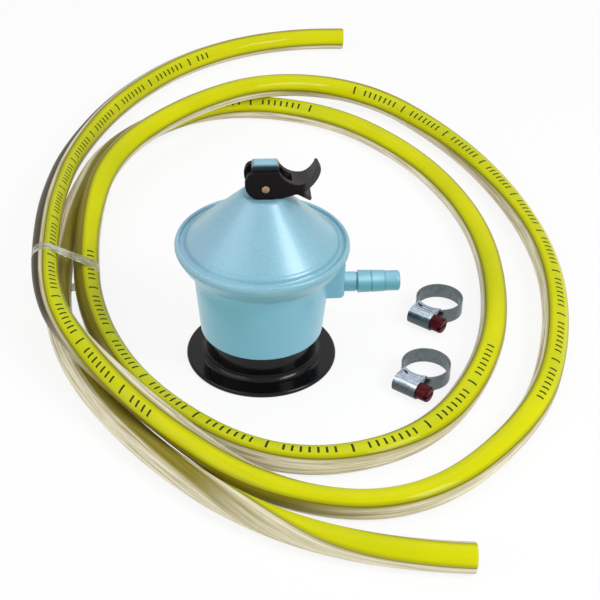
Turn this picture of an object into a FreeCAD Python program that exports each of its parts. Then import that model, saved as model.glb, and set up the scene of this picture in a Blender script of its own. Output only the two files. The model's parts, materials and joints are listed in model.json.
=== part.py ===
import FreeCAD, Part
import math
import os

# Low-pressure gas regulator for a 35 mm clip-on cylinder valve, with its hose and two hose clamps.
# Millimetres. +Z is the regulator's axis, upwards, and z = 0 is the plane that it stands on.
# +X runs out along the hose nozzle.

Vector = FreeCAD.Vector
UP = Vector(0, 0, 1)
DEPTH = Vector(0, 1, 0)
ALONG = Vector(1, 0, 0)

# Valve coupling
VALVE_R = 17.6             # guide land for a 35 mm cylinder valve
SOCKET_R = 18.3            # relieved bore above the land
SKIRT_R = 22.5             # outside of the coupling's skirt
SOCKET_ROOF_Z = 26.0
FLOOR_Z = 30.0             # underside of the body's floor
CHAMBER_Z = 36.0           # top of the body's floor
GLAND_HOLE_R = 2.05        # running fit on the plunger rod

# Locking collar and balls
FLANGE_R = 38.0
FLANGE_T = 2.6
NECK_R = 27.4
COLLAR_TOP_Z = 22.0
COLLAR_LIFT = 6.0
LOCKING_BALL_R = 2.5
LOCKING_BALL_Z = 12.0
LOCKING_BALL_SEAT = 20.25  # ball centre from the axis, locked
LOCKING_BALL_TRAVEL = 1.2  # outwards as the collar lifts fully
BALL_GAP = 0.05

# Body and cover
BODY_BASE_Z = 18.0
BODY_BASE_R = 30.7
BODY_NECK_R = 33.4         # under the flare
BODY_NECK_Z = 46.0
FLARE_FOOT = (35.0, 56.0)
FLANGE_EDGE = (41.2, 63.6)
CLAMP_LAND_Z = 64.8        # diaphragm's underside
DIAPHRAGM_T = 1.2
RIM_R = 43.0
SKIRT_EDGE_Z = 57.0        # where the cover is crimped under the flange
CRIMPS = 21                # notches that the crimping jaws leave in that edge
CRIMP_R = 2.2
CONE_FOOT = (36.6, 69.9)
CONE_TOP = (10.6, 95.5)
CONE_WALL = 2.2
TUBE_R = 10.5              # threaded tube under the cone's top
TUBE_BORE_R = 7.7
TUBE_FOOT_Z = 78.0
TUBE_ROOF_Z = 90.0

# Plunger, its head and the lever
SHANK_R = 3.2              # as thin as the head, so that the lever's cheeks pass it
SPINDLE_R = 3.0
ROD_R = 2.0
ROD_TIP_Z = 12.5
HEAD_HALF_X = 6.5
HEAD_HALF_Y = 3.3
HEAD_TOP_Z = 113.2
HEAD_CORNER_R = 2.6
CAM_GAP = 0.2
PIN_X = 1.0
PIN_Z = 101.2
PIN_R = 1.85
PIN_RUN = 0.05
LEVER_HALF_Y = 6.6
FORK_HALF_Y = 3.5
FORK_R = 13.0              # the fork's throat clears the head's corner as the lever swings
CAM_RISE = 2.8             # lift per radian, so the cam is the involute of a circle of this radius
CAM_SWING = 90.0

# Outlet
NOZZLE_Z = 43.0
NOZZLE_TIP_X = 68.9
NOZZLE_BORE_R = 2.9
NOZZLE_THREAD_R = 4.4
NOZZLE_NECK_R = 5.0
BOSS_FACE_X = 41.0
BOSS_HALF_Y = 7.0
BOSS_FOOT_Z = 37.2

# Diaphragm, valve and rocker
HUB_R = 5.2
HUB_BORE_R = 3.05
PLATE_R = 24.0
PLATE_T = 1.2
JET_X = -23.5
JET_TOP_Z = 44.4
PIVOT_X = -17.5
PIVOT_Z = 49.0
PIVOT_R = 1.25
ROCKER_HALF_Y = 4.0
ARM_TOP_Z = 49.6           # flat top of the arm's short end
FORK_Z = 61.75             # middle of the rocker's fork, between the hub's two flanges

# Hose clamps
CLAMP_BORE_R = 11.6
BAND_T = 0.8
BAND_W = 8.0
HOUSING_H = 9.6
WORM_R = 3.3
CLAMP_PLACES = {"clamp_1": (96.5, 33.0), "clamp_2": (81.5, -24.0)}
CLAMP_TURN = -40.0         # direction of the screw's axis from +X, in degrees

# Hose, laid on the floor in two and a half turns, from its far end to its near one
HOSE_R = 7.0
TIE_Y = 60.0
HOSE_ROUTE = [
    (75, 349, 7), (38, 352, 7), (-27, 324, 7), (-76, 266, 7), (-104, 196, 8.5),
    (-112, 133, 16.2), (-113, 84, 22.1), (-111, 33, 22.1), (-97.9, -9.8, 22.1), (-55.8, -70.8, 20.3),
    (-2.8, -118.4, 7), (65, -129.4, 7), (126, -73, 7), (153, -5, 7), (163, 67, 7),
    (152, 141, 7), (127, 207, 7), (84, 266, 9), (18, 258, 22), (-37, 223, 23),
    (-82, 167, 21.5), (-92.8, 98, 13.9), (-88.3, 23, 8), (-57, -47, 7), (3, -99, 7),
    (73, -85, 7), (115, -21, 7), (130, 51, 7), (127, 120, 7), (101, 189, 7),
    (52, 244, 7), (-22, 257, 7), (-80, 207, 7), (-100.3, 139, 7.5), (-106.9, 64, 8),
    (-102, 2, 7.5), (-73, -62, 7), (-22, -124, 7), (40, -157, 7), (85, -161, 7)]
ARC_SHARE = 0.45           # part of the shorter run that an arc takes
SPRING_ARCS = 6            # arcs in a turn of a spring


def outline(steps, at):
    """Closed wire through the steps; a step of two points is an arc through the first to the second."""
    edges = []
    last = steps[0]
    for step in steps[1:] + [steps[0]]:
        if isinstance(step[0], tuple):
            edges.append(Part.Arc(at(*last), at(*step[0]), at(*step[1])).toShape())
            last = step[1]
        elif math.dist(last, step) > 1e-6:
            edges.append(Part.LineSegment(at(*last), at(*step)).toShape())
            last = step
    return Part.Wire(edges)


def turned(steps):
    """Solid of revolution about Z from (radius, height) steps."""
    face = Part.Face(outline(steps, lambda r, z: Vector(r, 0, z)))
    return face.revolve(Vector(0, 0, 0), UP, 360)


def turned_along(steps, z):
    """Solid of revolution about the line y = 0 at height z, along X, from (x, radius) steps."""
    face = Part.Face(outline(steps, lambda x, r: Vector(x, 0, z + r)))
    return face.revolve(Vector(0, 0, z), ALONG, 360)


def side_plate(steps, half):
    """Plate whose outline lies in XZ, from y = -half to half."""
    face = Part.Face(outline(steps, lambda x, z: Vector(x, -half, z)))
    return face.extrude(DEPTH * (2 * half))


def rod(radius, start, end):
    """Cylinder between two points."""
    axis = Vector(*end) - Vector(*start)
    return Part.makeCylinder(radius, axis.Length, Vector(*start), axis)


def ring(inner, outer, low, high):
    """Plain ring about Z."""
    return turned([(inner, low), (outer, low), (outer, high), (inner, high)])


def spring(radius, wire, low, high, turns):
    """Compression spring about Z, a helix of arcs whose end coils meet the heights low and high."""
    rise = high - low - 2 * wire
    count = round(turns * SPRING_ARCS)

    def at(step):
        angle = math.pi * step / SPRING_ARCS
        height = low + wire + rise * step / (2 * count)
        return Vector(radius * math.cos(angle), radius * math.sin(angle), height)

    arcs = [Part.Arc(at(2 * i), at(2 * i + 1), at(2 * i + 2)).toShape() for i in range(count)]
    section = Part.Wire(Part.makeCircle(wire, at(0), DEPTH))
    return Part.Wire(arcs).makePipeShell([section], True, False)


def cap_middle(radius, rim_z, pole_z):
    """Middle of the arc from a rim to a pole on the axis; its centre is on the axis too."""
    height = pole_z - rim_z
    ball = (radius ** 2 + height ** 2) / (2 * height)
    half = math.atan2(height, radius)
    return ball * math.sin(half), pole_z - ball * (1 - math.cos(half))


def around(shape, angle):
    """A copy turned about Z by an angle in degrees."""
    copy = shape.copy()
    copy.rotate(Vector(0, 0, 0), UP, angle)
    return copy


def cone_z(r, inset=0.0):
    """Height of the cover's cone at a radius, or of a surface inset below it."""
    slope = (CONE_TOP[1] - CONE_FOOT[1]) / (CONE_FOOT[0] - CONE_TOP[0])
    return CONE_FOOT[1] + (CONE_FOOT[0] - r) * slope - inset * math.hypot(1, slope)


def flare_r(z):
    """Radius of the body's flare at a height."""
    share = (z - FLARE_FOOT[1]) / (FLANGE_EDGE[1] - FLARE_FOOT[1])
    return FLARE_FOOT[0] + share * (FLANGE_EDGE[0] - FLARE_FOOT[0])


def ramp_r(z):
    """Radius of the collar's conical ramp, tangent to a locked ball but for a small gap."""
    slope = LOCKING_BALL_TRAVEL / COLLAR_LIFT
    reach = (LOCKING_BALL_R + BALL_GAP) * math.hypot(1, slope)
    return LOCKING_BALL_SEAT + reach + slope * (LOCKING_BALL_Z - z)


def lower_body():
    """Cast pot: an open-bottomed skirt for the collar, a floor, and the gas chamber above it."""
    pot = turned([
        (0, BODY_BASE_Z), (BODY_BASE_R - 0.7, BODY_BASE_Z),
        ((BODY_BASE_R - 0.2, BODY_BASE_Z + 0.2), (BODY_BASE_R, BODY_BASE_Z + 0.7)),
        (BODY_NECK_R, BODY_NECK_Z), ((33.9, 51.5), FLARE_FOOT), FLANGE_EDGE,
        (FLANGE_EDGE[0], CLAMP_LAND_Z), (0, CLAMP_LAND_Z)])
    boss = Part.makeBox(BOSS_FACE_X - 26, 2 * BOSS_HALF_Y, 56 - BOSS_FOOT_Z,
                        Vector(26, -BOSS_HALF_Y, BOSS_FOOT_Z))
    corners = [edge for edge in boss.Edges if min(v.X for v in edge.Vertexes) > BOSS_FACE_X - 1
               and max(v.Z for v in edge.Vertexes) - min(v.Z for v in edge.Vertexes) > 1]
    boss = boss.makeFillet(3.0, corners)
    foot = [edge for edge in boss.Edges if max(v.Z for v in edge.Vertexes) < BOSS_FOOT_Z + 0.1
            and min(v.X for v in edge.Vertexes) > 27]
    boss = boss.makeFillet(1.2, foot)
    skirt_space = turned([(0, BODY_BASE_Z - 1), (28.2, BODY_BASE_Z - 1), (28.2, BODY_BASE_Z),
                          (28.8, FLOOR_Z), (0, FLOOR_Z)])
    chamber = turned([(0, CHAMBER_Z), (27.6, CHAMBER_Z), ((29.2, 36.6), (29.7, 38.0)), (30.6, 56.0),
                      (34.6, 61.0), (34.6, CLAMP_LAND_Z + 1), (0, CLAMP_LAND_Z + 1)])
    body = pot.fuse(boss).cut(skirt_space).cut(chamber)
    body = body.cut(rod(11.0, (0, 0, FLOOR_Z - 1), (0, 0, CHAMBER_Z + 1)))
    body = body.cut(rod(3.0, (28, 0, NOZZLE_Z), (35, 0, NOZZLE_Z)))
    body = body.cut(rod(NOZZLE_THREAD_R, (34.5, 0, NOZZLE_Z), (45, 0, NOZZLE_Z)))
    body = body.cut(rod(0.9, (-10, 0, 33), (JET_X - 1, 0, 33)))
    body = body.cut(rod(3.2, (JET_X, 0, 33.2), (JET_X, 0, CHAMBER_Z + 1)))
    for side in (-1, 1):
        post = side_plate([(PIVOT_X - 2.8, CHAMBER_Z - 0.5), (PIVOT_X + 2.8, CHAMBER_Z - 0.5),
                           (PIVOT_X + 2.4, PIVOT_Z), ((PIVOT_X, PIVOT_Z + 2.4), (PIVOT_X - 2.4, PIVOT_Z))],
                          1.5)
        post.translate(DEPTH * side * (ROCKER_HALF_Y + 0.2 + 1.5))
        body = body.fuse(post)
    body = body.cut(rod(PIVOT_R, (PIVOT_X, -9, PIVOT_Z), (PIVOT_X, 9, PIVOT_Z)))
    return body.removeSplitter()


def upper_cover():
    """Conical cover with a beaded rim crimped under the body's flange, and a threaded tube inside."""
    inner_foot_r = 35.5
    land_z = CLAMP_LAND_Z + DIAPHRAGM_T
    cover = turned([
        (SHANK_R + 0.05, CONE_TOP[1]), (CONE_TOP[0] - 0.6, CONE_TOP[1]),
        ((CONE_TOP[0] + 0.05, cone_z(CONE_TOP[0] + 0.3)), (CONE_TOP[0] + 0.6, cone_z(CONE_TOP[0] + 0.6))),
        (CONE_FOOT[0] - 0.8, cone_z(CONE_FOOT[0] - 0.8)), ((36.9, 69.75), (37.5, 68.6)),
        ((38.9, 67.4), (40.5, 68.0)), ((41.6, 69.0), (42.6, 68.3)), ((RIM_R, 66.5), (42.4, 64.4)),
        (40.0, 60.2), (37.7, 57.3),
        ((36.8, 56.6), (flare_r(SKIRT_EDGE_Z) + 0.1, SKIRT_EDGE_Z - 0.3)),
        (flare_r(SKIRT_EDGE_Z), SKIRT_EDGE_Z), FLANGE_EDGE, (FLANGE_EDGE[0], land_z),
        (inner_foot_r, land_z), (inner_foot_r, cone_z(inner_foot_r, CONE_WALL)),
        (TUBE_R, cone_z(TUBE_R, CONE_WALL)), (TUBE_R, TUBE_FOOT_Z), (TUBE_BORE_R, TUBE_FOOT_Z),
        (TUBE_BORE_R, TUBE_ROOF_Z), (SHANK_R + 0.05, TUBE_ROOF_Z)])
    vent_r = 27.0
    vent = rod(0.8, (0, vent_r, cone_z(vent_r) - 5), (0, vent_r, cone_z(vent_r) + 5))
    cover = cover.cut(around(vent, 25))
    notch = rod(CRIMP_R, (BODY_NECK_R, 0, SKIRT_EDGE_Z - 1.0), (RIM_R, 0, SKIRT_EDGE_Z - 1.0))
    notches = [around(notch, 360 / CRIMPS * (number + 0.5)) for number in range(CRIMPS)]
    return cover.cut(Part.makeCompound(notches))


def valve_coupling():
    """Turned socket for the cylinder valve, with ball holes, and a threaded spigot into the body."""
    socket = turned([
        (7.0, SOCKET_ROOF_Z), (7.0, 34.0), (GLAND_HOLE_R, 34.0), (GLAND_HOLE_R, CHAMBER_Z), (11.0, CHAMBER_Z),
        (11.0, FLOOR_Z), (SKIRT_R, FLOOR_Z), (SKIRT_R, 2.3), (21.8, 2.3), (21.8, 0.9), (SKIRT_R, 0.9),
        (SKIRT_R - 0.4, 0), (VALVE_R, 0), (VALVE_R, 7.0), (SOCKET_R, 7.7),
        (SOCKET_R, SOCKET_ROOF_Z - 1.5), (SOCKET_R - 1.5, SOCKET_ROOF_Z)])
    hole = rod(LOCKING_BALL_R + BALL_GAP, (15, 0, LOCKING_BALL_Z), (25, 0, LOCKING_BALL_Z))
    for quarter in range(4):
        socket = socket.cut(around(hole, 45 + 90 * quarter))
    return socket.cut(rod(0.9, (-12, 0, 33), (-6, 0, 33)))


def locking_ball(quarter):
    """Steel ball in the coupling's wall."""
    ball = Part.makeSphere(LOCKING_BALL_R, Vector(LOCKING_BALL_SEAT, 0, LOCKING_BALL_Z))
    return around(ball, 45 + 90 * quarter)


def locking_collar():
    """Flanged lift collar; its conical ramp lets the balls out as it rises."""
    lip_top_z = 3.8
    return turned([
        (24.6, 0), (FLANGE_R - 0.9, 0), ((FLANGE_R, FLANGE_T / 2), (FLANGE_R - 0.9, FLANGE_T)),
        (31.2, FLANGE_T + 0.2), ((28.6, 3.9), (NECK_R, 6.8)), (NECK_R, COLLAR_TOP_Z - 0.5),
        (NECK_R - 0.5, COLLAR_TOP_Z), (26.0, COLLAR_TOP_Z), (26.0, 16.0), (SKIRT_R + 0.1, 16.0),
        (SKIRT_R + 0.1, 13.0), (ramp_r(13.0), 13.0), (ramp_r(lip_top_z + 0.2), lip_top_z + 0.2),
        (SKIRT_R + 0.4, lip_top_z), (SKIRT_R + 0.4, 2.4), (24.6, 2.4)])


def collar_spring():
    """Spring that holds the collar down."""
    return spring(24.3, 0.8, 16.0, FLOOR_Z, 3.5)


def collar_retainer():
    """Open snap ring in the skirt's groove, the collar's lower stop."""
    snap = ring(21.8, 24.3, 0.95, 2.25)
    return snap.cut(Part.makeBox(10, 6, 4, Vector(-28, -3, 0)))


def inlet_nose():
    """Brass nose that enters the cylinder valve, screwed into the coupling's roof."""
    return turned([(3.2, 14.0), (4.4, 14.0), (5.2, 14.9), (5.2, 24.0), (10.0, 24.0), (10.0, SOCKET_ROOF_Z),
                   (7.0, SOCKET_ROOF_Z), (7.0, 32.0), (3.2, 32.0)])


def coupling_seal():
    """Rubber ring round the nose, which seals on the valve's face."""
    return turned([(5.2, 21.4), (9.2, 21.4), (9.8, 22.0), (9.8, 24.0), (5.2, 24.0)])


def inlet_filter():
    """Sintered sleeve in the nose's bore."""
    return ring(ROD_R + 0.35, 3.2, 26.0, 31.0)


def rod_gland():
    """Brass gland over the plunger rod's seal, on the chamber floor."""
    return turned([(GLAND_HOLE_R, 37.8), (3.9, 37.8), (3.9, CHAMBER_Z), (6.5, CHAMBER_Z), (6.5, 38.6),
                   (5.9, 39.4), (GLAND_HOLE_R, 39.4)])


def rod_seal():
    """O-ring on the plunger rod."""
    return Part.makeTorus(2.95, 0.89, Vector(0, 0, CHAMBER_Z + 0.9), UP)


def jet():
    """Upright brass jet that the seat pad closes."""
    nozzle = turned([(0.6, 33.2), (3.2, 33.2), (3.2, CHAMBER_Z), (4.0, CHAMBER_Z), (4.0, 40.0), (3.6, 40.4),
                     (2.8, 40.4), (1.7, JET_TOP_Z), (0.6, JET_TOP_Z)])
    nozzle.translate(ALONG * JET_X)
    return nozzle.cut(rod(0.9, (JET_X, 0, 33.2 - 1), (JET_X, 0, 35)))


def rocker_arm():
    """Bent arm from the seat pad over its pivot to the fork round the diaphragm's hub."""
    low, high = FORK_Z - 0.6, FORK_Z + 0.6
    arm = side_plate([
        (-28.0, 47.8), (PIVOT_X - 2.2, 47.8), ((PIVOT_X, PIVOT_Z - 2.4), (PIVOT_X + 2.2, 48.2)),
        (-9.5, low), (3.2, low), (3.2, high), (-10.2, high), (PIVOT_X + 1.2, 51.3),
        ((PIVOT_X - 0.4, 51.5), (PIVOT_X - 1.8, 50.0)), (-20.8, ARM_TOP_Z), (-28.0, ARM_TOP_Z)],
        ROCKER_HALF_Y)
    tines = Part.makeBox(11.0, 14.0, 1.2, Vector(-7.8, -7.0, low))
    neck = rod(4.8, (0, 0, 50), (0, 0, 70))
    mouth = Part.makeBox(10, 9.6, 20, Vector(0, -4.8, 50))
    arm = arm.fuse(tines).cut(neck).cut(mouth)
    arm = arm.cut(rod(PIVOT_R + 0.05, (PIVOT_X, -9, PIVOT_Z), (PIVOT_X, 9, PIVOT_Z)))
    return arm.cut(rod(1.2, (JET_X, 0, 45), (JET_X, 0, 52))).removeSplitter()


def rocker_pin():
    """Steel pin across the two posts."""
    half = ROCKER_HALF_Y + 0.2 + 3.0
    return rod(PIVOT_R, (PIVOT_X, -half, PIVOT_Z), (PIVOT_X, half, PIVOT_Z))


def seat_holder():
    """Brass cup riveted under the rocker's short end."""
    cup = turned([(0, 46.9), (3.2, 46.9), (3.2, 45.9), (3.9, 45.9), (3.9, 47.4), (3.5, 47.8), (1.2, 47.8),
                  (1.2, ARM_TOP_Z), (2.0, ARM_TOP_Z), (1.6, ARM_TOP_Z + 0.8), (0, ARM_TOP_Z + 0.8)])
    cup.translate(ALONG * JET_X)
    return cup


def seat_pad():
    """Rubber pad that faces the jet."""
    return rod(3.2, (JET_X, 0, 45.4), (JET_X, 0, 46.9))


def diaphragm():
    """Rubber sheet clamped at its rim, with one moulded convolution."""
    low, high = CLAMP_LAND_Z, CLAMP_LAND_Z + DIAPHRAGM_T
    return turned([(HUB_R, low), (25.2, low), ((29.2, 61.4), (33.4, low)), (FLANGE_EDGE[0], low),
                   (FLANGE_EDGE[0], high), (34.0, high), ((29.2, 62.7), (24.8, high)), (HUB_R, high)])


def diaphragm_plate():
    """Pressed steel dish under the main spring."""
    low = CLAMP_LAND_Z + DIAPHRAGM_T
    return turned([
        (HUB_R, low), (PLATE_R - 0.6, low), ((PLATE_R + 0.2, low + 0.4), (PLATE_R + 0.6, low + 1.2)),
        (PLATE_R + 0.6, low + 2.4), (PLATE_R - 0.4, low + 2.4), (PLATE_R - 0.6, low + PLATE_T),
        (HUB_R, low + PLATE_T)])


def diaphragm_hub():
    """Brass hub through the diaphragm, with a lower neck for the rocker's fork."""
    hub = turned([
        (HUB_BORE_R, 58.6), (6.6, 58.6), (6.6, 60.2), (4.4, 60.2), (4.4, 63.3), (9.0, 63.3),
        (9.0, CLAMP_LAND_Z), (HUB_R, CLAMP_LAND_Z), (HUB_R, 72.0), (HUB_BORE_R, 72.0), (HUB_BORE_R, 69.6),
        (4.4, 69.6), (4.4, 68.0), (HUB_BORE_R, 68.0)])
    return hub


def hub_nut():
    """Hexagon nut on the hub, over the plate."""
    low = CLAMP_LAND_Z + DIAPHRAGM_T + PLATE_T
    corners = [Vector(8.6 * math.cos(math.radians(a)), 8.6 * math.sin(math.radians(a)), low)
               for a in range(0, 361, 60)]
    nut = Part.Face(Part.makePolygon(corners)).extrude(UP * 3.6)
    return nut.cut(rod(HUB_R, (0, 0, low - 1), (0, 0, low + 5)))


def hub_seal():
    """O-ring in the hub, on the plunger."""
    return Part.makeTorus(3.71, 0.68, Vector(0, 0, 68.8), UP)


def pressure_spring():
    """Main spring, between the diaphragm's plate and the adjuster."""
    return spring(14.0, 1.2, CLAMP_LAND_Z + DIAPHRAGM_T + PLATE_T, 79.0, 3.5)


def spring_adjuster():
    """Threaded ring on the cover's tube, with two spanner notches."""
    nut = turned([(TUBE_R, 79.0), (18.0, 79.0), (18.5, 79.5), (18.5, 82.0), (TUBE_R, 82.0)])
    for angle in (0, 180):
        nut = nut.cut(around(Part.makeBox(4, 3, 5, Vector(16, -1.5, 78)), angle))
    return nut


def plunger():
    """Spindle and its flat painted head, with a collar for its spring and a thin push rod below."""
    nose_r = ROD_R - 0.6
    spindle = turned([
        (0, ROD_TIP_Z), (cap_middle(nose_r, ROD_TIP_Z + nose_r, ROD_TIP_Z), (nose_r, ROD_TIP_Z + nose_r)),
        (ROD_R, ROD_TIP_Z + nose_r + 0.6),
        (ROD_R, 55.0), (SPINDLE_R, 56.2), (SPINDLE_R, TUBE_FOOT_Z), (7.4, TUBE_FOOT_Z), (7.4, 79.6),
        (SHANK_R, 79.6), (SHANK_R, CONE_TOP[1] + CAM_GAP + 1), (0, CONE_TOP[1] + CAM_GAP + 1)])
    foot_z = CONE_TOP[1] + CAM_GAP
    corner = HEAD_CORNER_R
    sag = corner * (1 - math.sqrt(0.5))
    left, right = PIN_X - HEAD_HALF_X, PIN_X + HEAD_HALF_X
    front = side_plate([
        (left, foot_z), (right, foot_z), (right, HEAD_TOP_Z - corner),
        ((right - sag, HEAD_TOP_Z - sag), (right - corner, HEAD_TOP_Z)), (left + corner, HEAD_TOP_Z),
        ((left + sag, HEAD_TOP_Z - sag), (left, HEAD_TOP_Z - corner))], HEAD_HALF_Y)
    roof = [(-HEAD_HALF_Y, foot_z), (HEAD_HALF_Y, foot_z), (HEAD_HALF_Y, HEAD_TOP_Z - 2.2),
            ((2.9, HEAD_TOP_Z - 0.6), (1.9, HEAD_TOP_Z)), (-1.9, HEAD_TOP_Z),
            ((-2.9, HEAD_TOP_Z - 0.6), (-HEAD_HALF_Y, HEAD_TOP_Z - 2.2))]
    side = Part.Face(outline(roof, lambda y, z: Vector(-10, y, z))).extrude(ALONG * 20)
    head = front.common(side)
    bore = rod(PIN_R + PIN_RUN, (PIN_X, -9, PIN_Z), (PIN_X, 9, PIN_Z))
    return spindle.fuse(head).removeSplitter().cut(bore)


def plunger_spring():
    """Spring that pushes the plunger down."""
    return spring(5.85, 0.8, 79.6, TUBE_ROOF_Z, 4)


def cam_point(angle):
    """Point of the cam whose reach below the pin grows evenly with the lever's swing."""
    reach = PIN_Z - CONE_TOP[1] - CAM_GAP + CAM_RISE * angle
    return (PIN_X - reach * math.sin(angle) - CAM_RISE * math.cos(angle),
            PIN_Z - reach * math.cos(angle) + CAM_RISE * math.sin(angle))


def lever():
    """Forked cam lever: cheeks with involute cams, a dished arm, a thumb horn and a hook below it."""
    half = LEVER_HALF_Y
    swing = math.radians(CAM_SWING)

    def at(x, z):
        return Vector(x, -half, z)

    def curve(points):
        line = Part.BSplineCurve()
        line.interpolate([at(*p) for p in points])
        return line.toShape()

    cam = [cam_point(swing * i / 6) for i in range(7)]
    back = [cam[-1], (-8.6, 105.6), (-7.6, 108.2), (-5.2, 109.6)]
    dish = [(7.4, 109.9), (8.8, 107.4), (11.6, 104.9), (15.7, 103.3), (19.2, 103.7), (22.4, 106.6),
            (24.6, 111.0)]
    horn = [(26.4, 111.2), (27.5, 109.0), (26.8, 105.6), (24.2, 102.4), (19.6, 99.1)]
    hook = [(19.6, 99.1), (21.2, 97.1), (22.9, 95.3)]
    hollow = [(22.0, 94.1), (20.0, 95.6), (17.6, 97.3), (16.0, 98.1), (13.6, 97.5), (10.0, 96.5), (6.0, 96.3)]
    edges = [curve(cam), curve(back), Part.LineSegment(at(*back[-1]), at(*dish[0])).toShape(), curve(dish),
             Part.Arc(at(*dish[-1]), at(25.6, 112.2), at(*horn[0])).toShape(), curve(horn), curve(hook),
             Part.Arc(at(*hook[-1]), at(22.9, 94.2), at(*hollow[0])).toShape(), curve(hollow),
             Part.LineSegment(at(*hollow[-1]), at(5.0, cam[0][1])).toShape(),
             Part.LineSegment(at(5.0, cam[0][1]), at(*cam[0])).toShape()]
    blank = Part.Face(Part.Wire(edges)).extrude(DEPTH * 2 * half)
    plan = outline([(-12, -half), (16.0, -half), ((24.6, -3.8), (28.4, 0)), ((24.6, 3.8), (16.0, half)),
                    (-12, half)], lambda x, y: Vector(x, y, 90))
    blank = blank.common(Part.Face(plan).extrude(UP * 30))
    throat = rod(FORK_R, (PIN_X, -FORK_HALF_Y, PIN_Z), (PIN_X, FORK_HALF_Y, PIN_Z))
    bore = rod(PIN_R, (PIN_X, -9, PIN_Z), (PIN_X, 9, PIN_Z))
    return blank.cut(throat).cut(bore)


def lever_pin():
    """Brass pin fixed in the lever's cheeks, with low domed ends."""
    end = LEVER_HALF_Y + 0.1
    pole = end + 0.35
    pin = turned([(0, -pole), (cap_middle(PIN_R, -end, -pole), (PIN_R, -end)), (PIN_R, end),
                  (cap_middle(PIN_R, end, pole), (0, pole))])
    pin.rotate(Vector(0, 0, 0), ALONG, 90)
    pin.translate(Vector(PIN_X, 0, PIN_Z))
    return pin


def outlet_nozzle():
    """Barbed hose nozzle screwed into the body's boss."""
    return turned_along([
        (35.5, NOZZLE_BORE_R), (35.5, NOZZLE_THREAD_R), (BOSS_FACE_X, NOZZLE_THREAD_R),
        (BOSS_FACE_X, NOZZLE_NECK_R), (46.6, NOZZLE_NECK_R), (46.9, 4.6), (47.5, 4.6), (47.7, 5.7),
        (53.9, 5.55), (54.3, 5.3), (54.7, 5.55), (61.0, 5.35), (61.4, 5.1), (67.4, 5.1),
        ((68.5, 4.7), (NOZZLE_TIP_X, 3.9)), (NOZZLE_TIP_X, NOZZLE_BORE_R)], NOZZLE_Z)


def outlet_seal():
    """Flat washer at the bottom of the boss's thread."""
    steps = [(34.5, 3.0), (35.5, 3.0), (35.5, NOZZLE_THREAD_R), (34.5, NOZZLE_THREAD_R)]
    return turned_along(steps, NOZZLE_Z)


def placed_clamp(shape, name):
    """A clamp's part, from its own frame to its place on the floor."""
    copy = around(shape, CLAMP_TURN)
    copy.translate(Vector(*CLAMP_PLACES[name], 0))
    return copy


def screw_y():
    """Place of the worm's axis in a clamp's own frame, just clear of the band."""
    return -(CLAMP_BORE_R + 2 * BAND_T + WORM_R + 0.1)


def band_sector(inner, outer, start, end, low, high):
    """Part of a ring between two angles in degrees."""
    face = Part.Face(outline([(inner, low), (outer, low), (outer, high), (inner, high)],
                             lambda r, z: Vector(r, 0, z)))
    return around(face.revolve(Vector(0, 0, 0), UP, end - start), start)


def clamp_band():
    """Worm-drive band: a full turn, and a slotted tail that overlaps it under the housing."""
    low = (HOUSING_H - BAND_W) / 2
    outer = CLAMP_BORE_R + BAND_T
    band = ring(CLAMP_BORE_R, outer, low, low + BAND_W)
    tail = band_sector(outer, outer + BAND_T, -128, -38, low, low + BAND_W)
    slot = Part.makeBox(2.4, 0.9, BAND_W - 3.0, Vector(outer + 0.25, -0.45, low + 1.5))
    slot.rotate(Vector(outer, 0, low + BAND_W / 2), ALONG, 12)
    for number in range(9):
        tail = tail.cut(around(slot, -122 + 9.6 * number))
    return band.fuse(tail)


def clamp_housing():
    """Pressed housing: a barrel round the worm, two cheeks over the band's edges, and ribs on the saddle."""
    axis_y, mid = screw_y(), HOUSING_H / 2
    outer = CLAMP_BORE_R + 2 * BAND_T
    low = (HOUSING_H - BAND_W) / 2 - 0.05
    half = 6.6
    barrel = rod(mid, (-half, axis_y, mid), (half, axis_y, mid))
    block = Part.makeBox(2 * half, -axis_y - 8.0, HOUSING_H, Vector(-half, axis_y, 0))
    shell = barrel.fuse(block).removeSplitter()
    shell = shell.cut(rod(CLAMP_BORE_R, (0, 0, -1), (0, 0, HOUSING_H + 1)))
    shell = shell.cut(ring(CLAMP_BORE_R, outer, low, HOUSING_H - low))
    shell = shell.cut(rod(WORM_R + 0.1, (-half - 1, axis_y, mid), (half + 1, axis_y, mid)))
    slit = band_sector(outer, outer + 0.8, -114, -101, HOUSING_H - 1.6, HOUSING_H + 1)
    grooves = [rod(0.7, (-5.2, y, HOUSING_H + 0.15), (4.4, y, HOUSING_H + 0.15)) for y in (-15.3, -13.55)]
    return shell.cut(Part.makeCompound([slit] + grooves))


def clamp_screw():
    """Worm with a slotted collar head; three rings hold it in the housing."""
    axis_y, mid = screw_y(), HOUSING_H / 2
    steps = [(-7.4, 0), (-7.4, 2.6), (-6.7, 2.6), (-6.7, WORM_R - 0.5)]
    for number in range(6):
        x = -6.2 + 2.1 * number
        steps += [(x, WORM_R - 0.5), (x + 0.35, WORM_R), (x + 1.1, WORM_R), (x + 1.45, WORM_R - 0.5)]
    steps += [(6.75, WORM_R - 0.5), (6.75, 4.1), (11.8, 4.1), ((12.65, 3.75), (12.95, 2.8)), (12.95, 0)]
    screw = turned_along(steps, 0)
    screw = screw.cut(Part.makeBox(2.2, 10, 1.2, Vector(11.15, -5, -0.6)))
    screw.translate(Vector(0, axis_y, mid))
    return screw


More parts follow.
